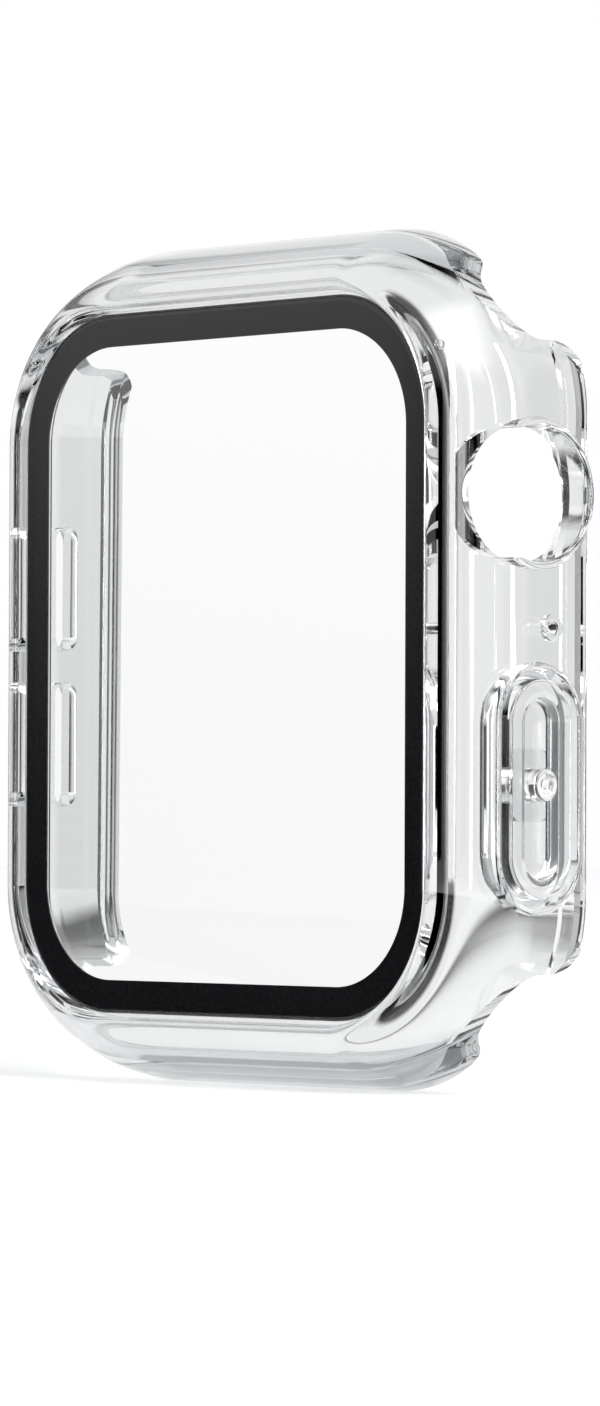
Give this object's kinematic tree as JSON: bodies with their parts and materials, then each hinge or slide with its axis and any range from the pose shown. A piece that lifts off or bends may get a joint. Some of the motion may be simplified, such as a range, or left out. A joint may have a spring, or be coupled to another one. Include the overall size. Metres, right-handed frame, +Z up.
{
  "type": "smartwatch screen protector",
  "caption": "Clear push-on protector case with a bonded glass front, open back, round side port and a sprung button cover.",
  "frame": {"origin": "centre of the pane's back face, where the front glass of the device rests", "axes": "+Y from the front to the open back, +Z up along the long sides, +X to the side with the port and the button"},
  "size_m": [0.0419, 0.0103, 0.0494],
  "materials": {
    "clear_plastic": "clear polished moulding",
    "pane_glass": "polished, with a ground edge",
    "border_print": "opaque black print",
    "clear_adhesive": "clear, slightly hazy",
    "soft_seal": "soft translucent"
  },
  "bodies": {
    "protector": {"bumper_frame": "clear_plastic", "screen_pane": "pane_glass", "black_border": "border_print", "pane_adhesive": "clear_adhesive", "button_seal": "soft_seal"},
    "button": {"button_cover": "clear_plastic", "button_pusher": "clear_plastic"}
  },
  "joints": [
    {"name": "button_press", "type": "slide", "parent": "protector", "child": "button", "axis": [-1, 0, 0], "range_m": [0, 0.0004], "stiffness_N_per_m": 1000}
  ]
}
